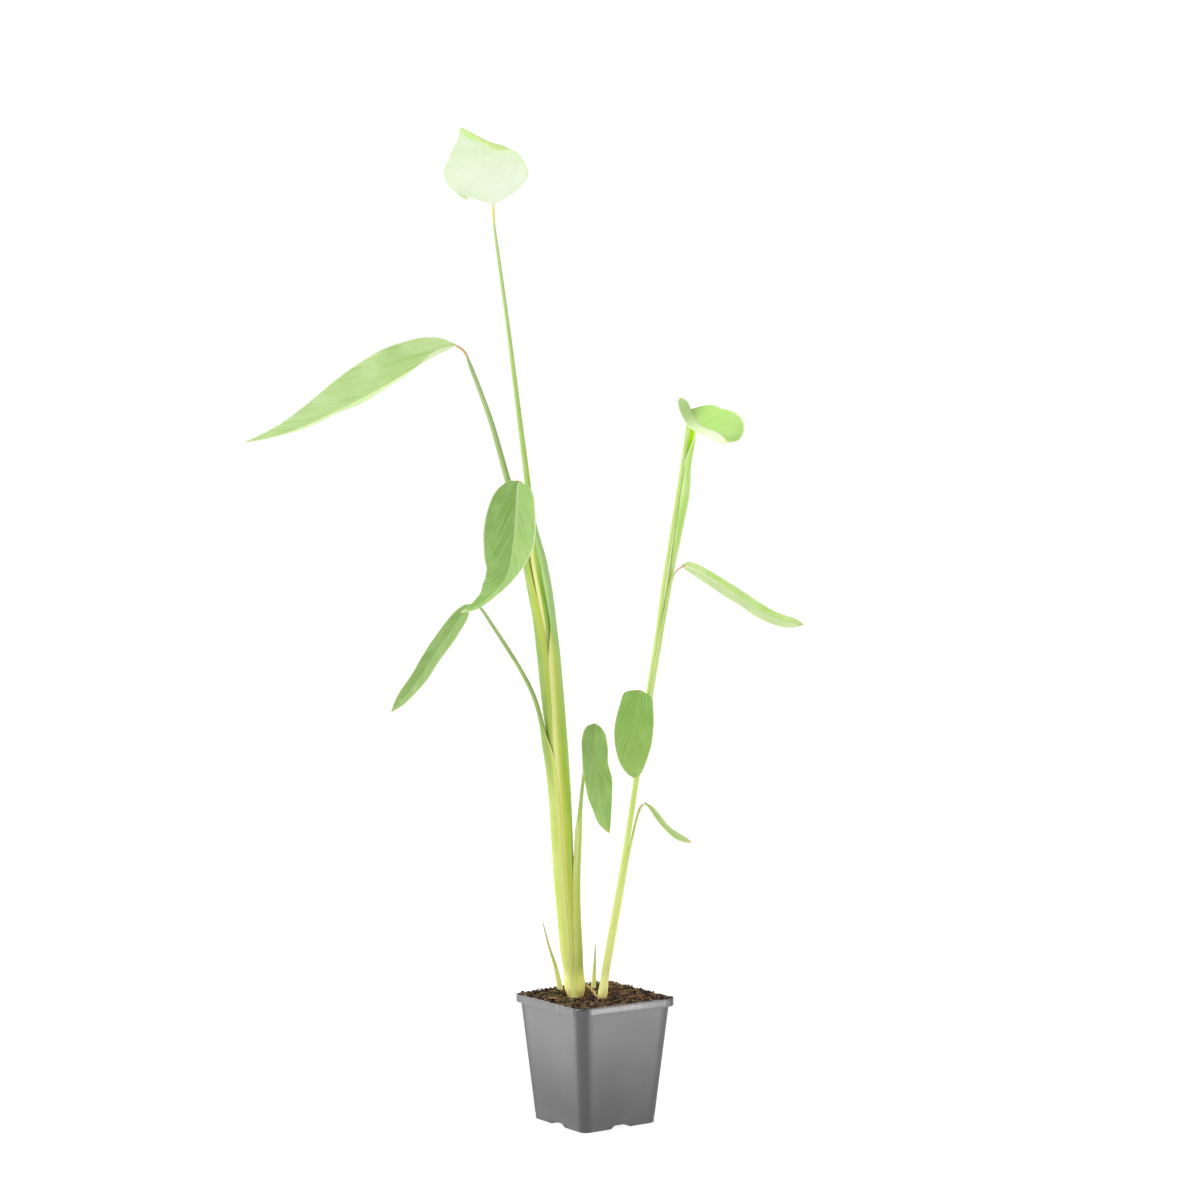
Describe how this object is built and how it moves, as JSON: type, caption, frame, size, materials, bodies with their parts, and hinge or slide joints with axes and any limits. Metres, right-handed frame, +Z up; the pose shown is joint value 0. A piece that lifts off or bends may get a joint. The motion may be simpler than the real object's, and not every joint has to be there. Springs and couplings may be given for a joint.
{
  "type": "potted thalia",
  "caption": "Tall young water plant with drooping paddle leaves on long sheathed stalks, rooted in soil in a square tapered nursery pot.",
  "frame": {"origin": "middle of the pot's flat base", "axes": "+Z up, X and Y square to the pot's sides; the plant's pictured face looks towards -X -Y, 35.5 degrees round from -Y towards -X"},
  "size_m": [0.3315, 0.2835, 0.7258],
  "materials": {
    "pot_plastic": "soft sheen, black plastic",
    "potting_soil": "rough, crumbly peat",
    "stalk": "smooth, waxy",
    "blade": "smooth, waxy, finely ribbed",
    "pale_blade": "smooth, powdery underside",
    "young_leaf": "smooth, fresh",
    "dry_root": "dry"
  },
  "bodies": {
    "root": {"pot": "pot_plastic", "soil": "potting_soil", "leaf_a_stalk": "stalk", "leaf_a_blade": "pale_blade", "leaf_b_stalk": "stalk", "leaf_b_blade": "blade", "leaf_c_stalk": "stalk", "leaf_c_blade": "blade", "leaf_d_stalk": "stalk", "leaf_d_blade": "blade", "leaf_e_stalk": "stalk", "leaf_e_blade": "blade", "leaf_f_stalk": "stalk", "leaf_f_blade": "blade", "leaf_h_stalk": "stalk", "leaf_h_blade": "blade", "leaf_i_stalk": "stalk", "leaf_i_blade": "blade", "leaf_j_stalk": "stalk", "leaf_j_blade": "blade", "rolled_leaf": "young_leaf", "left_sprout": "young_leaf", "middle_sprout": "young_leaf", "surface_root": "dry_root"}
  },
  "joints": []
}
